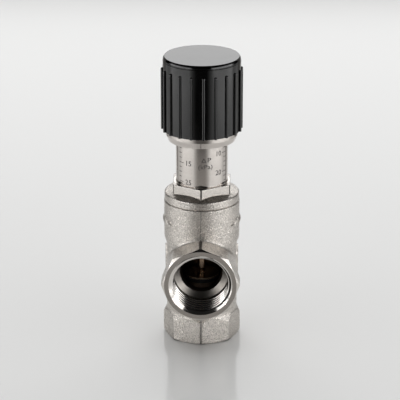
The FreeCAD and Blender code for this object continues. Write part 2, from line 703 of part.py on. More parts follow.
def knob_washer():
    """Washer between the screw's head and the knob's web."""
    return ring(SCREW_RADIUS + SCREW_CLEARANCE, KNOB_WASHER_RADIUS, RECESS_Z, HEAD_Z)


PIECES = (
    valve_body,
    bonnet,
    bonnet_seal,
    guide_plug,
    stem_seal,
    seal_washer,
    stem,
    disc_seal,
    clamp_washer,
    disc_nut,
    stem_clip,
    lower_spring_seat,
    pressure_spring,
    spring_follower,
    adjusting_spindle,
    spindle_stop_ring,
    knob,
    knob_cap,
    pointer_collar,
    knob_screw,
    knob_washer,
)

os.makedirs("parts", exist_ok=True)
for piece in PIECES:
    piece().exportStep("parts/" + piece.__name__ + ".step")
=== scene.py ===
import json
import math

import bmesh
import bpy
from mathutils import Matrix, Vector
from mathutils.bvhtree import BVHTree


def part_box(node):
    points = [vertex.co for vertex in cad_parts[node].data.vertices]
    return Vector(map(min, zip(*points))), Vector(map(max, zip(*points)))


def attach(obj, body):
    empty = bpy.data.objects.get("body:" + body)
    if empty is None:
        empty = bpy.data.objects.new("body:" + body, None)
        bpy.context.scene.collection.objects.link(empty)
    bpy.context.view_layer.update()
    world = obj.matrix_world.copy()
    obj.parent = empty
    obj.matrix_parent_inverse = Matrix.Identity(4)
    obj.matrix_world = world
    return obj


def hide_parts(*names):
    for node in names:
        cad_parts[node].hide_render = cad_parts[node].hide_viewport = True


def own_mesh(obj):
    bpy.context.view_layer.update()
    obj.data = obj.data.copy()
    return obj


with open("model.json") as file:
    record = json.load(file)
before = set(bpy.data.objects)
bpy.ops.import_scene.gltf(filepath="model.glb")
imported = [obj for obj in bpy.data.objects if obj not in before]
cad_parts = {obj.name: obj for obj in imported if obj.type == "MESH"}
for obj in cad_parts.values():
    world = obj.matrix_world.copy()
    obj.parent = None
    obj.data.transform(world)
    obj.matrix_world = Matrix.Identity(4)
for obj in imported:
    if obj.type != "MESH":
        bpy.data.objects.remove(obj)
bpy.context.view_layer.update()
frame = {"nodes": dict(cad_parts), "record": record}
nodes = frame["nodes"]
mounts = {mount["name"]: mount for mount in frame["record"]["mounts"]}

# Sizes that the scene repeats from the solids, in metres
MM = 0.001
THREAD_PITCH = 1.814 * MM
THREAD_DEPTH = 1.16 * MM
THREAD_MAJOR = mounts["outlet_port"]["dims"]["r_mm"] * MM
THREAD_END = 10.49 * MM
ENTRY_RADIUS = THREAD_MAJOR + 0.26 * MM
LEAD_START = 0.08 * MM
LEAD_SLOPE = math.tan(math.radians(60))
OUTLET_HEIGHT = mounts["outlet_port"]["pos_m"][2]
OUTLET_FACE = -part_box("valve_body")[0].y
OUTLET_BORE_END = -7.1 * MM
PORT_BORE_RADIUS = 11.3 * MM
PORT_FACE_RADIUS = 12.21 * MM
PORT_CHAMFER = math.tan(math.radians(30))
OCTAGON_BACK = -13.4 * MM
CHAMBER_RADIUS = 7.37 * MM
CHAMBER_FLOOR = 18.80 * MM
WAIST_RADIUS = 12.14 * MM
WAIST_TOP = 33.3 * MM
CUP_RADIUS = 12.93 * MM
CUP_FOOT = 38.0 * MM
FLANGE_RADIUS = 12.77 * MM
FLANGE_RIM = 52.25 * MM
FLANGE_SLOPE = math.tan(math.radians(20))
HEXAGON_FLAT = 9.71 * MM
HEXAGON_CORNER = 11.21 * MM
HEXAGON_TOP = 56.22 * MM
TUBE_RADIUS = 8.84 * MM
COLLAR_TAPER = ((11.43 * MM, 71.10 * MM), (12.25 * MM, 73.12 * MM))
SPRING_SPLIT = 50.84 * MM

# The scale: its lowest reading in kilopascals, where that is, the way down for one more, and the ink's lift
SCALE_LOWEST = 5
SCALE_LOWEST_HEIGHT = 71.2 * MM
SCALE_STEP = 0.675 * MM
INK_LIFT = 0.016 * MM

# Depth of the arrows' relief, and of their feet in the wall
ARROW_RELIEF = 0.42 * MM
ARROW_FOOT = -0.06 * MM


# Shader tools

def feed(tree, socket, value):
    """Link a socket to an output, or set its value."""
    if isinstance(value, bpy.types.NodeSocket):
        tree.links.new(value, socket)
    else:
        socket.default_value = value


def add(tree, kind, inputs=None, **settings):
    """New node with its settings, and its inputs fed by name or number."""
    made = tree.nodes.new(kind)
    for name, value in settings.items():
        setattr(made, name, value)
    for name, value in (inputs or {}).items():
        feed(tree, made.inputs[name], value)
    return made


def sums(tree, operation, *values):
    """Output of a Math node."""
    return add(tree, "ShaderNodeMath", dict(enumerate(values)), operation=operation).outputs[0]


def between(tree, factor, low, high):
    """Number between two others."""
    return add(tree, "ShaderNodeMix", {"Factor": factor, "A": low, "B": high}).outputs["Result"]


def between_colours(tree, factor, low, high):
    """Colour between two others."""
    made = add(tree, "ShaderNodeMix", data_type="RGBA")
    sockets = [socket for socket in made.inputs if socket.enabled]
    for socket, value in zip(sockets, (factor, low, high)):
        feed(tree, socket, value)
    return [socket for socket in made.outputs if socket.enabled][0]


def ramp(tree, value, start, end, low=0.0, high=1.0, kind="LINEAR"):
    """Number that goes from low to high as a value goes from start to end."""
    inputs = {"Value": value, "From Min": start, "From Max": end, "To Min": low, "To Max": high}
    return add(tree, "ShaderNodeMapRange", inputs, interpolation_type=kind).outputs["Result"]


def radius_of(tree, one, other):
    """Distance from an axis, from the two coordinates across it."""
    squares = [sums(tree, "MULTIPLY", across, across) for across in (one, other)]
    return sums(tree, "SQRT", sums(tree, "ADD", *squares))


def bump(tree, height, depth_mm, over=None):
    """Normal from a height map of that depth, over the surface or over other normals."""
    made = add(tree, "ShaderNodeBump", {"Height": height, "Distance": depth_mm * MM})
    if over:
        feed(tree, made.inputs["Normal"], over)
    return made.outputs["Normal"]


def new_group(name, inputs, outputs):
    """Empty shader group with named sockets: its tree, its inputs and its outputs."""
    tree = bpy.data.node_groups.new(name, "ShaderNodeTree")
    for label, value in inputs.items():
        socket = tree.interface.new_socket(name=label, in_out="INPUT", socket_type="NodeSocketFloat")
        socket.default_value = value
    for label in outputs:
        kind = "NodeSocketVector" if label == "Normal" else "NodeSocketFloat"
        tree.interface.new_socket(name=label, in_out="OUTPUT", socket_type=kind)
    return tree, tree.nodes.new("NodeGroupInput").outputs, tree.nodes.new("NodeGroupOutput").inputs


def use_group(tree, group, values=None):
    """A shader group placed in a material with its own values: its outputs."""
    return add(tree, "ShaderNodeGroup", values, node_tree=group).outputs


def object_place(tree):
    """The surface point in the valve's frame."""
    return add(tree, "ShaderNodeTexCoord").outputs["Object"]


def point_mm(tree):
    """The surface point in millimetres in the valve's frame: its X, Y and Z."""
    scaled = add(tree, "ShaderNodeVectorMath", {0: object_place(tree), "Scale": 1 / MM}, operation="SCALE")
    return add(tree, "ShaderNodeSeparateXYZ", {0: scaled.outputs["Vector"]}).outputs


# Shader groups

def grain_group():
    """Blasted or moulded grain: small hills and dents, and broad clouds of tone."""
    tree, given, out = new_group("grain", {"Size mm": 0.55, "Dent share": 0.3}, ["Height", "Tone"])
    place = object_place(tree)
    scale = sums(tree, "DIVIDE", 1 / MM, given["Size mm"])
    dent_scale = sums(tree, "MULTIPLY", scale, 0.8)
    broad_scale = sums(tree, "MULTIPLY", scale, 0.1)
    hills = add(tree, "ShaderNodeTexNoise",
                {"Vector": place, "Scale": scale, "Detail": 2.0, "Roughness": 0.6})
    dents = add(tree, "ShaderNodeTexVoronoi",
                {"Vector": place, "Scale": dent_scale, "Smoothness": 0.6}, feature="SMOOTH_F1")
    broad = add(tree, "ShaderNodeTexNoise",
                {"Vector": place, "Scale": broad_scale, "Detail": 4.0, "Roughness": 0.55})
    height = between(tree, given["Dent share"], hills.outputs["Fac"], dents.outputs["Distance"])
    feed(tree, out["Height"], height)
    feed(tree, out["Tone"], between(tree, 0.08, height, broad.outputs["Fac"]))
    return tree


def turning_group():
    """Fine rings that a turning tool leaves, from a coordinate across them in millimetres."""
    tree, given, out = new_group("turning rings", {"Across mm": 0.0, "Feed mm": 0.06}, ["Height", "Tone"])
    steps = sums(tree, "DIVIDE", given["Across mm"], given["Feed mm"])
    fine = add(tree, "ShaderNodeTexNoise", {"W": steps, "Scale": 1.0, "Detail": 2.0}, noise_dimensions="1D")
    broad = add(tree, "ShaderNodeTexNoise", {"W": steps, "Scale": 0.06, "Detail": 3.0}, noise_dimensions="1D")
    feed(tree, out["Height"], fine.outputs["Fac"])
    feed(tree, out["Tone"], between(tree, 0.5, fine.outputs["Fac"], broad.outputs["Fac"]))
    return tree


def handling_group():
    """Soft patches where hands and cloths have been."""
    tree, given, out = new_group("handling marks", {"Size mm": 7.0}, ["Mask"])
    scale = sums(tree, "DIVIDE", 1 / MM, given["Size mm"])
    cloud = add(tree, "ShaderNodeTexNoise", {"Vector": object_place(tree), "Scale": scale, "Detail": 5.0,
                                             "Roughness": 0.62, "Distortion": 0.4})
    feed(tree, out["Mask"], ramp(tree, cloud.outputs["Fac"], 0.42, 0.68, kind="SMOOTHSTEP"))
    return tree


def machined_group():
    """Where the forging was cut: the ports' faces with their chamfers, the bores and the chamber."""
    tree, given, out = new_group("machined places", {"Edge mm": 0.04},
                                 ["Mask", "Across mm", "Radius mm", "Chamber"])
    point = point_mm(tree)
    outlet_up = sums(tree, "SUBTRACT", point["Z"], OUTLET_HEIGHT / MM)
    outlet_depth = sums(tree, "ADD", point["Y"], OUTLET_FACE / MM)
    faces, bores, across, radii = [], [], [], []
    for other, depth in ((point["Y"], point["Z"]), (outlet_up, outlet_depth)):
        radius = radius_of(tree, point["X"], other)
        past = sums(tree, "MAXIMUM", sums(tree, "SUBTRACT", radius, PORT_FACE_RADIUS / MM), 0.0)
        chamfer = sums(tree, "MULTIPLY", past, PORT_CHAMFER)
        faces.append(sums(tree, "LESS_THAN", depth, sums(tree, "ADD", chamfer, given["Edge mm"])))
        bores.append(sums(tree, "LESS_THAN", radius, PORT_BORE_RADIUS / MM))
        across.append(sums(tree, "ADD", radius, depth))
        radii.append(radius)
    ahead = sums(tree, "LESS_THAN", point["Y"], OUTLET_BORE_END / MM)
    cut_bores = sums(tree, "MAXIMUM", bores[0], sums(tree, "MULTIPLY", bores[1], ahead))
    feed(tree, out["Mask"], sums(tree, "MAXIMUM", sums(tree, "MAXIMUM", *faces), cut_bores))
    feed(tree, out["Across mm"], between(tree, ahead, *across))
    feed(tree, out["Radius mm"], between(tree, ahead, *radii))
    within = sums(tree, "LESS_THAN", radii[0], CHAMBER_RADIUS / MM + 0.05)
    above = sums(tree, "GREATER_THAN", point["Z"], CHAMBER_FLOOR / MM - 0.1)
    feed(tree, out["Chamber"], sums(tree, "MULTIPLY", within, above))
    return tree


def worn_edge_group():
    """Edges and fillets polished round: their normals, and where they are, along which the finishes paint
    highlights and shade.
    """
    tree, given, out = new_group("worn edges", {"Radius mm": 0.5}, ["Normal", "Mask"])
    radius = sums(tree, "MULTIPLY", given["Radius mm"], MM)
    rounded = add(tree, "ShaderNodeBevel", {"Radius": radius}, samples=8).outputs["Normal"]
    flat = add(tree, "ShaderNodeNewGeometry").outputs["Normal"]
    along = add(tree, "ShaderNodeVectorMath", {0: rounded, 1: flat}, operation="DOT_PRODUCT").outputs["Value"]
    feed(tree, out["Normal"], rounded)
    feed(tree, out["Mask"], ramp(tree, along, 0.985, 0.90))
    return tree


GRAIN = grain_group()
WORN_EDGE = worn_edge_group()
TURNING = turning_group()
HANDLING = handling_group()
MACHINED = machined_group()


# Finishes

# Radius and depth in a port added together, where the bore goes on past its thread and is painted darker as
# shade
PAST_THREAD_MM = 17.0
# Values and colours that more than one finish uses
BLASTED = {"Size mm": 0.35, "Dent share": 0.3}
SPECKLE_RANGE = (0.38, 0.58)
TURNED_DARK = (0.67, 0.625, 0.585, 1)
TURNED_LIGHT = (0.775, 0.73, 0.69, 1)
# Lighter colour of polished edges, partly a painted highlight
POLISHED_HIGHLIGHT = (0.90, 0.86, 0.81, 1)


def new_finish(name, **constants):
    """Material with a Principled shader: its tree, the shader's inputs and itself."""
    material = bpy.data.materials.new(name)
    material.use_nodes = True
    shader = material.node_tree.nodes["Principled BSDF"].inputs
    for label, value in constants.items():
        shader[label.replace("_", " ")].default_value = value
    return material.node_tree, shader, material


def parting_line(tree):
    """The line where the forging dies met: where it is, and how dark, strongest along the outlet port."""
    point = point_mm(tree)
    side = sums(tree, "ABSOLUTE", point["X"])
    port = ramp(tree, point["Y"], OCTAGON_BACK / MM, OCTAGON_BACK / MM - 1.0)
    seam = ramp(tree, side, between(tree, port, 0.36, 0.75), between(tree, port, 0.12, 0.30))
    below_cup = ramp(tree, point["Z"], CUP_FOOT / MM, WAIST_TOP / MM, 0.42, 0.7)
    return seam, sums(tree, "MULTIPLY", seam, between(tree, port, below_cup, 0.85))


def forged_nickel():
    """Satin nickel on blasted forging, bright where the ports are cut, with a dark parting line."""
    tree, shader, material = new_finish("forged_nickel", Metallic=1.0)
    cut = use_group(tree, MACHINED)
    grain = use_group(tree, GRAIN, BLASTED)
    rings = use_group(tree, TURNING, {"Across mm": cut["Across mm"], "Feed mm": 0.055})
    edge = use_group(tree, WORN_EDGE, {"Radius mm": between(tree, cut["Mask"], 0.32, 0.03)})
    seam, dark = parting_line(tree)
    edge_polish_and_highlight = sums(tree, "MULTIPLY", edge["Mask"], sums(tree, "SUBTRACT", 1.0, cut["Mask"]))
    speckle = ramp(tree, grain["Tone"], *SPECKLE_RANGE)
    deep_bore_shade = sums(tree, "GREATER_THAN", cut["Across mm"], PAST_THREAD_MM)

    satin = between_colours(tree, speckle, (0.44, 0.412, 0.381, 1), (0.86, 0.812, 0.757, 1))
    # Edges and fillets painted lighter: partly their polish, partly a painted highlight
    satin = between_colours(tree, edge_polish_and_highlight, satin, POLISHED_HIGHLIGHT)
    satin = between_colours(tree, dark, satin, (0.10, 0.095, 0.09, 1))
    bright = between_colours(tree, rings["Tone"], (0.61, 0.572, 0.53, 1), (0.75, 0.715, 0.675, 1))
    # Painted shade: the bore past its thread is painted darker
    bright = between_colours(tree, deep_bore_shade, bright, (0.36, 0.335, 0.306, 1))
    # The cut brass of the chamber, painted much darker as shade deep inside the valve
    bright = between_colours(tree, cut["Chamber"], bright, (0.22, 0.165, 0.125, 1))
    feed(tree, shader["Base Color"], between_colours(tree, cut["Mask"], satin, bright))

    satin_rough = between(tree, edge_polish_and_highlight, between(tree, speckle, 0.38, 0.27), 0.16)
    turned_rough = between(tree, rings["Tone"], 0.14, 0.22)
    deep_rough = sums(tree, "ADD", turned_rough, sums(tree, "MULTIPLY", deep_bore_shade, 0.14))
    bright_rough = between(tree, cut["Chamber"], deep_rough, 0.5)
    feed(tree, shader["Roughness"], between(tree, cut["Mask"], satin_rough, bright_rough))

    hills = sums(tree, "MULTIPLY", grain["Height"], 2.4)
    blasted = sums(tree, "ADD", hills, sums(tree, "MULTIPLY", seam, 0.5))
    turned = sums(tree, "MULTIPLY", rings["Height"], 0.03)
    skin = between(tree, cut["Mask"], blasted, turned)
    feed(tree, shader["Normal"], bump(tree, skin, 0.08, edge["Normal"]))
    return material


def turned_nickel():
    """Bright nickel over a turned surface, with fine rings and a few handling marks."""
    tree, shader, material = new_finish("turned_nickel", Metallic=1.0)
    rings = use_group(tree, TURNING, {"Across mm": point_mm(tree)["Z"], "Feed mm": 0.05})
    marks = use_group(tree, HANDLING, {"Size mm": 5.5})
    feed(tree, shader["Base Color"], between_colours(tree, rings["Tone"], TURNED_DARK, TURNED_LIGHT))
    rough = between(tree, rings["Tone"], 0.12, 0.20)
    feed(tree, shader["Roughness"], sums(tree, "ADD", rough, sums(tree, "MULTIPLY", marks["Mask"], 0.05)))
    feed(tree, shader["Normal"], bump(tree, rings["Height"], 0.002))
    return material


def bonnet_places(tree, height, radius):
    """Masks on the bonnet: its tube, its hexagon, that one's top corners and arrises where painted shade
    goes, and the free edges.
    """
    tube = sums(tree, "GREATER_THAN", height, HEXAGON_TOP / MM + 0.05)
    inward = sums(tree, "SUBTRACT", FLANGE_RADIUS / MM, radius)
    flange_rise = sums(tree, "MULTIPLY", inward, FLANGE_SLOPE)
    above = sums(tree, "SUBTRACT", sums(tree, "SUBTRACT", height, flange_rise), FLANGE_RIM / MM)
    hexagon = sums(tree, "GREATER_THAN", above, 0.08)
    top = sums(tree, "GREATER_THAN", height, HEXAGON_TOP / MM - 0.05)
    top_corner_shade = sums(tree, "MULTIPLY", top, sums(tree, "GREATER_THAN", radius, HEXAGON_FLAT / MM - 0.11))
    arris_shade = sums(tree, "GREATER_THAN", radius, HEXAGON_CORNER / MM - 0.17)
    arris_shade = sums(tree, "MULTIPLY", hexagon, arris_shade)
    clear = sums(tree, "GREATER_THAN", above, 0.6)
    rim = sums(tree, "GREATER_THAN", radius, FLANGE_RADIUS / MM - 0.47)
    free = sums(tree, "MAXIMUM", clear, rim)
    free = sums(tree, "MULTIPLY", free, sums(tree, "SUBTRACT", 1.0, tube))
    return tube, hexagon, top_corner_shade, arris_shade, free


def bonnet_nickel():
    """Nickel on the bonnet: satin over the forged flange and hexagon, bright over the turned tube."""
    tree, shader, material = new_finish("bonnet_nickel", Metallic=1.0)
    point = point_mm(tree)
    radius = radius_of(tree, point["X"], point["Y"])
    tube, hexagon, top_corner_shade, arris_shade, free = bonnet_places(tree, point["Z"], radius)
    edge = use_group(tree, WORN_EDGE, {"Radius mm": between(tree, free, 0.03, 0.5)})
    grain = use_group(tree, GRAIN, BLASTED)
    rings = use_group(tree, TURNING, {"Across mm": point["Z"], "Feed mm": 0.05})
    speckle = ramp(tree, grain["Tone"], *SPECKLE_RANGE)

    satin = between_colours(tree, speckle, (0.42, 0.393, 0.363, 1), (0.88, 0.83, 0.775, 1))
    flats = between_colours(tree, speckle, (0.60, 0.567, 0.53, 1), (0.76, 0.718, 0.672, 1))
    # Painted shade: the hexagon's top corners are painted darker, as a chamfer there would look
    flats = between_colours(tree, top_corner_shade, flats, (0.44, 0.416, 0.39, 1))
    satin = between_colours(tree, hexagon, satin, flats)
    # Polished edges: painted light on the flange as a highlight, painted dull on the hexagon as shade
    edge_polish_and_highlight = between_colours(tree, hexagon, POLISHED_HIGHLIGHT, (0.46, 0.44, 0.415, 1))
    satin = between_colours(tree, edge["Mask"], satin, edge_polish_and_highlight)
    # Painted reflection: a dark line is painted down the hexagon's arrises
    satin = between_colours(tree, arris_shade, satin, (0.12, 0.113, 0.105, 1))
    bright = between_colours(tree, rings["Tone"], TURNED_DARK, TURNED_LIGHT)
    feed(tree, shader["Base Color"], between_colours(tree, tube, satin, bright))

    satin_rough = between(tree, hexagon, between(tree, speckle, 0.38, 0.26), 0.20)
    satin_rough = between(tree, edge["Mask"], satin_rough, 0.16)
    turned_rough = between(tree, rings["Tone"], 0.12, 0.20)
    feed(tree, shader["Roughness"], between(tree, tube, satin_rough, turned_rough))

    hills = between(tree, hexagon, 1.5, 0.5)
    blasted = sums(tree, "MULTIPLY", grain["Height"], hills)
    turned = sums(tree, "MULTIPLY", rings["Height"], 0.025)
    feed(tree, shader["Normal"], bump(tree, between(tree, tube, blasted, turned), 0.08, edge["Normal"]))
    return material


def cut_thread():
    """Bright nickel over the cut flanks of a port's thread, rougher in the roots, which are painted dark as
    shade.
    """
    tree, shader, material = new_finish("cut_thread", Metallic=1.0)
    cut = use_group(tree, MACHINED)
    grain = use_group(tree, GRAIN, {"Size mm": 0.4, "Dent share": 0.2})
    radius = cut["Radius mm"]
    mouth = sums(tree, "LESS_THAN", sums(tree, "SUBTRACT", cut["Across mm"], radius), 0.95)
    # Painted shade: the thread's roots are painted near black, while the crests and the mouth keep the flank
    # colour
    crest = ramp(tree, radius, THREAD_MAJOR / MM - 0.64, THREAD_MAJOR / MM - 0.92)
    crest = sums(tree, "MAXIMUM", crest, mouth)
    flank = between_colours(tree, grain["Tone"], (0.78, 0.745, 0.70, 1), (0.94, 0.90, 0.855, 1))
    feed(tree, shader["Base Color"], between_colours(tree, crest, (0.03, 0.028, 0.026, 1), flank))
    feed(tree, shader["Roughness"], between(tree, crest, 0.30, 0.12))
    feed(tree, shader["Normal"], bump(tree, grain["Height"], 0.0032))
    return material


def bare_brass():
    """Turned brass with no plate, a little dulled."""
    tree, shader, material = new_finish("bare_brass", Metallic=1.0)
    rings = use_group(tree, TURNING, {"Across mm": point_mm(tree)["Z"], "Feed mm": 0.05})
    marks = use_group(tree, HANDLING, {"Size mm": 3.2})
    edge = use_group(tree, WORN_EDGE, {"Radius mm": 0.3})
    worn = between_colours(tree, marks["Mask"], (0.80, 0.61, 0.46, 1), (0.62, 0.46, 0.34, 1))
    # Painted highlight: the edges are painted lighter, partly as worn brass and partly as a highlight
    feed(tree, shader["Base Color"], between_colours(tree, edge["Mask"], worn, (0.95, 0.78, 0.62, 1)))
    turned_rough = between(tree, rings["Tone"], 0.16, 0.30)
    feed(tree, shader["Roughness"], between(tree, edge["Mask"], turned_rough, 0.55))
    feed(tree, shader["Normal"], bump(tree, rings["Height"], 0.0024, edge["Normal"]))
    return material


def bright_steel():
    """Rolled stainless steel with fine scuffs."""
    tree, shader, material = new_finish("bright_steel", Metallic=1.0)
    grain = use_group(tree, GRAIN, {"Size mm": 0.16, "Dent share": 0.1})
    marks = use_group(tree, HANDLING, {"Size mm": 2.4})
    tone = between_colours(tree, grain["Tone"], (0.56, 0.56, 0.57, 1), (0.74, 0.74, 0.75, 1))
    feed(tree, shader["Base Color"], tone)
    feed(tree, shader["Roughness"], between(tree, marks["Mask"], 0.18, 0.32))
    feed(tree, shader["Normal"], bump(tree, grain["Height"], 0.0032))
    return material


def seal_rubber():
    """Moulded black rubber with a fine grain and a little bloom."""
    tree, shader, material = new_finish("seal_rubber")
    grain = use_group(tree, GRAIN, {"Size mm": 0.24, "Dent share": 0.4})
    marks = use_group(tree, HANDLING, {"Size mm": 3.2})
    bloom = between_colours(tree, marks["Mask"], (0.016, 0.016, 0.016, 1), (0.04, 0.04, 0.041, 1))
    feed(tree, shader["Base Color"], bloom)
    feed(tree, shader["Roughness"], between(tree, grain["Tone"], 0.5, 0.72))
    feed(tree, shader["Normal"], bump(tree, grain["Height"], 0.012))
    return material


def knob_plastic():
    """Glossy black moulding with a faint orange-peel skin and fingermarks."""
    tree, shader, material = new_finish("knob_plastic", Specular_IOR_Level=0.75)
    grain = use_group(tree, GRAIN, {"Size mm": 0.7, "Dent share": 0.5})
    marks = use_group(tree, HANDLING, {"Size mm": 6.3})
    tone = between_colours(tree, grain["Tone"], (0.0004, 0.0004, 0.0005, 1), (0.0013, 0.0013, 0.0014, 1))
    feed(tree, shader["Base Color"], tone)
    feed(tree, shader["Roughness"], between(tree, marks["Mask"], 0.10, 0.15))
    feed(tree, shader["Normal"], bump(tree, grain["Height"], 0.0032))
    return material


def marking_ink():
    """Dark marking on the tube, thin in places."""
    tree, shader, material = new_finish("marking_ink")
    grain = use_group(tree, GRAIN, {"Size mm": 0.12, "Dent share": 0.2})
    tone = between_colours(tree, grain["Tone"], (0.03, 0.028, 0.026, 1), (0.16, 0.15, 0.14, 1))
    feed(tree, shader["Base Color"], tone)
    feed(tree, shader["Roughness"], between(tree, grain["Tone"], 0.42, 0.6))
    return material


FORGED = forged_nickel()
TURNED = turned_nickel()
THREAD = cut_thread()
BRASS = bare_brass()
STEEL = bright_steel()
RUBBER = seal_rubber()
PLASTIC = knob_plastic()
INK = marking_ink()
BY_SLOT = {"forged_nickel": FORGED, "turned_nickel": TURNED, "bare_brass": BRASS, "bright_steel": STEEL,
           "seal_rubber": RUBBER, "knob_plastic": PLASTIC}
for subpart in frame["record"]["subparts"]:
    nodes[subpart["node"]].material_slots[0].material = BY_SLOT[subpart["material_slot"]]
nodes["bonnet"].material_slots[0].material = bonnet_nickel()


# Pieces

def keep_piece(name, mesh, material, body, sharp_deg=None):
    """Named piece that rides on a body, smooth but for edges above an angle where one is given."""
    data = bpy.data.meshes.new(name)
    mesh.to_mesh(data)
    mesh.free()
    if sharp_deg:
        for face in data.polygons:
            face.use_smooth = True
        data.set_sharp_from_angle(angle=math.radians(sharp_deg))
    data.materials.append(material)
    piece = bpy.data.objects.new(name, data)
    bpy.context.scene.collection.objects.link(piece)
    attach(piece, body)
    return piece


def skin_rows(mesh, rows):
    """Faces between rows of as many points each."""
    for first, second in zip(rows, rows[1:]):
        for left in range(len(first) - 1):
            mesh.faces.new((first[left], first[left + 1], second[left + 1], second[left]))


def thread_turns(name, to_valve, start_deg):
    """Turns of a port's thread, cut back at the mouth by a lead-in chamfer."""
    steps = 96
    half = THREAD_PITCH / 2
    flank = ((0.0, 1.0), (0.08, 0.78), (0.20, 0.70), (0.80, 0.30), (0.92, 0.22))
    section = [(rise, -along) for rise, along in flank] + [(0.985, 0.0)] + list(reversed(flank))
    count = int((THREAD_END - LEAD_START) / THREAD_PITCH * steps + 0.75 * steps)
    mesh = bmesh.new()
    rows = []
    for index in range(count + 1):
        angle = math.radians(start_deg) + 2 * math.pi * index / steps
        middle = LEAD_START - half + THREAD_PITCH * index / steps
        row = []
        for rise, along in section:
            depth = max(middle + along * half, LEAD_START)
            chamfer = ENTRY_RADIUS - (depth - LEAD_START) * LEAD_SLOPE
            radius = max(THREAD_MAJOR - rise * THREAD_DEPTH, chamfer)
            row.append(mesh.verts.new(to_valve(radius * math.cos(angle), radius * math.sin(angle), depth)))
        rows.append(row)
    skin_rows(mesh, rows)
    bmesh.ops.remove_doubles(mesh, verts=mesh.verts, dist=0.002 * MM)
    bmesh.ops.recalc_face_normals(mesh, faces=mesh.faces)
    return keep_piece(name, mesh, THREAD, "housing", 55)


thread_turns("inlet_thread", lambda x, y, depth: (x, y, depth), 0)
thread_turns("outlet_thread", lambda x, y, depth: (-x, depth - OUTLET_FACE, y + OUTLET_HEIGHT), 20)


def wall_reach(turn, height):
    """Distance of the forging's outer wall from the axis, by the turn from the front and the height."""
    outward = Vector((math.sin(turn), -math.cos(turn), 0))
    place = FORGING.ray_cast(outward * 0.1 + Vector((0, 0, height)), -outward)[0]
    return place.xy.length


def arrow_outline(length, wide):
    """Half widths of an arrow along its length, from the shaft's end to the tip."""
    head = 0.36 * length
    outline = []
    for index in range(25):
        along = length * index / 24
        share = (length - along) / head
        half = wide / 2 * share if along >= length - head else wide * 0.19
        outline.append((along - length / 2, max(half, 0.2 * MM)))
    barb = next(index for index, (along, half) in enumerate(outline) if half > wide * 0.4)
    outline.insert(barb, (outline[barb][0] - 0.3 * MM, outline[barb - 1][1]))
    return outline


def raised_arrow(name, radius, turn_deg, height, length, wide, round_body):
    """Plain flow arrow that the forging die leaves proud of the wall, along it or up it."""
    mesh = bmesh.new()
    rows = []
    for along, half in arrow_outline(length, wide):
        top = half - min(0.5 * MM, 0.6 * half)
        row = []
        for across, lift in ((-half, ARROW_FOOT), (-top, ARROW_RELIEF), (0, 1.1 * ARROW_RELIEF),
                             (top, ARROW_RELIEF), (half, ARROW_FOOT)):
            arc, rise = (along, across) if round_body else (across, along)
            turn = math.radians(turn_deg) - math.copysign(1, turn_deg) * arc / radius
            reach = wall_reach(turn, height + rise) + lift
            row.append(mesh.verts.new((reach * math.sin(turn), -reach * math.cos(turn), height + rise)))
        rows.append(row)
    skin_rows(mesh, rows)
    for row in (rows[0], rows[-1]):
        mesh.faces.new(row)
    bmesh.ops.recalc_face_normals(mesh, faces=mesh.faces)
    return keep_piece(name, mesh, FORGED, "housing", 50)


FORGING = BVHTree.FromObject(nodes["valve_body"], bpy.context.evaluated_depsgraph_get())
for side, turn in (("left", -1), ("right", 1)):
    raised_arrow("outflow_arrow_" + side, CUP_RADIUS, 80 * turn, 42.3 * MM, 12.5 * MM, 5.0 * MM, True)
    raised_arrow("inflow_arrow_" + side, WAIST_RADIUS, 88 * turn, 27.6 * MM, 10.5 * MM, 4.6 * MM, False)


def round_the_tube(turn_deg, height, across=0.0):
    """Point just off the tube, by the turn from the front towards +X, the height and a way across."""
    turn = math.radians(turn_deg) + across / TUBE_RADIUS
    reach = TUBE_RADIUS + INK_LIFT
    return Vector((reach * math.sin(turn), -reach * math.cos(turn), height))


def pointer_mark():
    """Fine line down the collar's taper, against which the scale is read."""
    mesh = bmesh.new()
    middle, half = -0.08 * MM, 0.10 * MM
    rows = [[mesh.verts.new((middle + side, -(radius + INK_LIFT), height)) for side in (-half, half)]
            for radius, height in COLLAR_TAPER]
    mesh.faces.new((rows[0][0], rows[0][1], rows[1][1], rows[1][0]))
    return keep_piece("pointer_mark", mesh, INK, "adjuster")


def scale_tick(mesh, start_deg, end_deg, height, thickness):
    """One tick of the scale, laid round the tube."""
    steps = 6
    rows = []
    for index in range(steps + 1):
        turn = start_deg + (end_deg - start_deg) * index / steps
        rows.append([mesh.verts.new(round_the_tube(turn, height + side * thickness / 2)) for side in (-1, 1)])
    for first, second in zip(rows, rows[1:]):
        mesh.faces.new((first[0], second[0], second[1], first[1]))


def scale_height(reading):
    """Height of a reading on the tube."""
    return SCALE_LOWEST_HEIGHT - SCALE_STEP * (reading - SCALE_LOWEST)


def scale_ticks():
    """Two columns of ticks, longer at the readings that are numbered."""
    mesh = bmesh.new()
    columns = (((15, 25), -43, -49, -57), ((10, 20), 51.5, 57, 66))
    for half_steps in range(2, 11):
        reading = 2.5 * half_steps
        for numbered, long_end, short_end, outer in columns:
            inner = long_end if reading in numbered else short_end
            scale_tick(mesh, min(inner, outer), max(inner, outer), scale_height(reading), 0.19 * MM)
    return keep_piece("scale_ticks", mesh, INK, "housing")


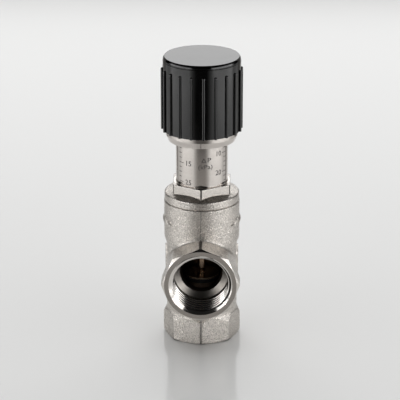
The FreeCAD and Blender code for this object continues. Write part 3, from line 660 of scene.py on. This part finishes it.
def difference_sign():
    """Outlined triangle before the scale's letter, bent round the tube."""
    mesh = bmesh.new()
    middle_deg, foot = 5.8, 65.28 * MM
    wide, high, stroke = 1.9 * MM, 1.62 * MM, 0.24 * MM
    slant = math.hypot(wide / 2, high)
    inner_half = wide / 2 - stroke * (slant + wide / 2) / high
    inner_high = high - stroke * (1 + slant / (wide / 2))
    rings = []
    for half, low, top in ((wide / 2, 0.0, high), (inner_half, stroke, stroke + inner_high)):
        waist = (low + top) / 2
        corners = ((-half, low), (0.0, low), (half, low), (half / 2, waist), (0.0, top), (-half / 2, waist))
        rings.append([mesh.verts.new(round_the_tube(middle_deg, foot + up, across))
                      for across, up in corners])
    for index in range(6):
        after = (index + 1) % 6
        mesh.faces.new((rings[0][index], rings[0][after], rings[1][after], rings[1][index]))
    return keep_piece("scale_difference", mesh, INK, "housing")


def scale_words(name, words, turn_deg, height, size, tall=1.0):
    """Words of the scale as flat lettering, bent round the tube."""
    curve = bpy.data.curves.new(name, "FONT")
    curve.body = words
    curve.size = size
    curve.align_x = "CENTER"
    curve.align_y = "CENTER"
    curve.resolution_u = 4
    curve.offset = 0.012 * MM
    flat = bpy.data.objects.new(name + "_flat", curve)
    bpy.context.scene.collection.objects.link(flat)
    bpy.context.view_layer.update()
    letters = bpy.data.meshes.new_from_object(flat.evaluated_get(bpy.context.evaluated_depsgraph_get()))
    bpy.data.objects.remove(flat)
    mesh = bmesh.new()
    mesh.from_mesh(letters)
    bpy.data.meshes.remove(letters)
    bmesh.ops.triangulate(mesh, faces=mesh.faces)
    for vertex in mesh.verts:
        vertex.co = round_the_tube(turn_deg, height + tall * vertex.co.y, vertex.co.x)
    return keep_piece(name, mesh, INK, "housing")


scale_ticks()
pointer_mark()
for reading, turn in ((15, -30), (25, -30), (10, 40.5), (20, 40.5)):
    scale_words("scale_%d" % reading, "%d" % reading, turn, scale_height(reading), 2.54 * MM)
difference_sign()
scale_words("scale_quantity", "P", 17.6, 66.05 * MM, 2.7 * MM, 0.86)
scale_words("scale_unit", "(kPa)", 9.3, 63.65 * MM, 2.5 * MM, 0.86)


def spring_half(name, upper):
    """Coils above or below the split, cut apart there and closed at the cut."""
    mesh = bmesh.new()
    mesh.from_mesh(nodes["pressure_spring"].data)
    bmesh.ops.remove_doubles(mesh, verts=mesh.verts, dist=0.001 * MM)
    bmesh.ops.bisect_plane(mesh, geom=mesh.verts[:] + mesh.edges[:] + mesh.faces[:],
                           plane_co=(0, 0, SPRING_SPLIT), plane_no=(0, 0, 1),
                           clear_inner=upper, clear_outer=not upper)
    bmesh.ops.holes_fill(mesh, edges=[edge for edge in mesh.edges if edge.is_boundary])
    piece = keep_piece(name, mesh, STEEL, "housing", 40)
    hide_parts("pressure_spring")
    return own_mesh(piece)


spring_half("spring_upper_coils", True)
spring_half("spring_lower_coils", False)


# Stage

def floor_board():
    """Pale glossy board under the valve."""
    tree, shader, material = new_finish("floor_board", Specular_IOR_Level=0.3)
    cloud = add(tree, "ShaderNodeTexNoise", {"Scale": 17.7, "Detail": 3.0}).outputs["Fac"]
    tone = between_colours(tree, cloud, (0.775, 0.775, 0.765, 1), (0.805, 0.805, 0.797, 1))
    feed(tree, shader["Base Color"], tone)
    feed(tree, shader["Roughness"], between(tree, cloud, 0.10, 0.14))
    return material


def reflection_shade_felt():
    """Dull felt of the flags that shade the metal's reflections.

    The one on the floor is painted darkest far to the front, pales towards its sides, and shows from above
    only; this graded tone is painted shade that the reflections show.
    """
    tree, shader, material = new_finish("reflection_shade_felt", Roughness=1.0, Specular_IOR_Level=0.0)
    grain = use_group(tree, GRAIN, {"Size mm": 1.6, "Dent share": 0.2})
    place = point_mm(tree)
    # Painted shade for reflections: mid grey near the valve, near black far to the front
    near = ramp(tree, place["Y"], -228.0, -184.0, kind="SMOOTHSTEP")
    shade = between_colours(tree, near, (0.02, 0.019, 0.018, 1), (0.42, 0.405, 0.39, 1))
    half_width = sums(tree, "ADD", sums(tree, "MULTIPLY", place["Y"], -0.62), 8.0)
    aside = sums(tree, "DIVIDE", sums(tree, "ABSOLUTE", place["X"]), half_width)
    fade = ramp(tree, aside, 0.40, 1.0, kind="SMOOTHSTEP")
    level = sums(tree, "LESS_THAN", place["Z"], 1.0)
    shade = between_colours(tree, sums(tree, "MULTIPLY", fade, level), shade, (0.80, 0.80, 0.79, 1))
    fleck = sums(tree, "MULTIPLY", grain["Tone"], 0.2)
    feed(tree, shader["Base Color"], between_colours(tree, fleck, shade, (0.10, 0.10, 0.10, 1)))
    under = add(tree, "ShaderNodeNewGeometry").outputs["Backfacing"]
    feed(tree, shader["Alpha"], sums(tree, "SUBTRACT", 1.0, sums(tree, "MULTIPLY", under, level)))
    return material


def flat_sheet(name, corners, material):
    """Flat stage sheet."""
    data = bpy.data.meshes.new(name)
    data.from_pydata(corners, [], [tuple(range(len(corners)))])
    data.materials.append(material)
    sheet = bpy.data.objects.new(name, data)
    bpy.context.scene.collection.objects.link(sheet)
    return sheet


def flag(name, corners):
    """Felt flag out of the picture, which only the reflections show."""
    sheet = flat_sheet(name, corners, SHADE_FELT)
    sheet.visible_camera = False
    sheet.visible_diffuse = False
    sheet.visible_shadow = False


def softbox(name, place, target, width, height, power):
    """Soft light that the camera doesn't see itself."""
    light = bpy.data.lights.new(name, "AREA")
    light.shape = "RECTANGLE"
    light.size = width
    light.size_y = height
    light.energy = power
    lamp = bpy.data.objects.new(name, light)
    lamp.location = place
    lamp.rotation_euler = (Vector(target) - Vector(place)).to_track_quat("-Z", "Y").to_euler()
    lamp.visible_camera = False
    bpy.context.scene.collection.objects.link(lamp)
    return lamp


flat_sheet("floor", [(-6, -6, 0), (6, -6, 0), (6, 6, 0), (-6, 6, 0)], floor_board())

SHADE_FELT = reflection_shade_felt()
flag("front_flag", [(-0.598, -0.951, 0.0004), (0.598, -0.951, 0.0004),
                    (0.0378, -0.048, 0.0004), (-0.0378, -0.048, 0.0004)])
for side, name in ((-1, "left_flag"), (1, "right_flag")):
    near_end, far_end = (side * 0.105, 0.075), (side * 0.127, 0.317)
    flag(name, [(*near_end, 0.0), (*far_end, 0.0), (*far_end, 0.238), (*near_end, 0.238)])

MIDDLE = (0, 0, 0.0476)
softbox("left_box", (-0.793, -0.373, 0.225), MIDDLE, 1.27, 0.42, 2.3)
softbox("right_box", (0.793, -0.373, 0.225), MIDDLE, 1.27, 0.42, 2.8)
floor_light = softbox("floor_light", (0, 0.159, 1.268), (0, 0.04, 0), 1.744, 1.744, 12.9)
floor_light.visible_glossy = False
softbox("back_box", (0, 1.189, 0.595), MIDDLE, 1.903, 0.793, 8.17)
for side, name in ((-1, "left_strip"), (1, "right_strip")):
    strip = softbox(name, (side * 0.75, -0.30, 0.16), MIDDLE, 1.30, 0.05, 0.75)
    strip.visible_diffuse = False

world = bpy.data.worlds.new("studio")
world.use_nodes = True
world.node_tree.nodes["Background"].inputs["Color"].default_value = (1, 1, 1, 1)
world.node_tree.nodes["Background"].inputs["Strength"].default_value = 0.01
bpy.context.scene.world = world
bpy.context.scene.view_settings.view_transform = "Standard"

lens = bpy.data.cameras.new("camera")
lens.lens = 174.8
lens.sensor_width = 36.0
lens.clip_start = 0.01
camera = bpy.data.objects.new("camera", lens)
camera.location = (0.01451, -0.62412, 0.28245)
camera.rotation_euler = (math.radians(69.47), 0, math.radians(1.39))
bpy.context.scene.collection.objects.link(camera)
bpy.context.scene.camera = camera
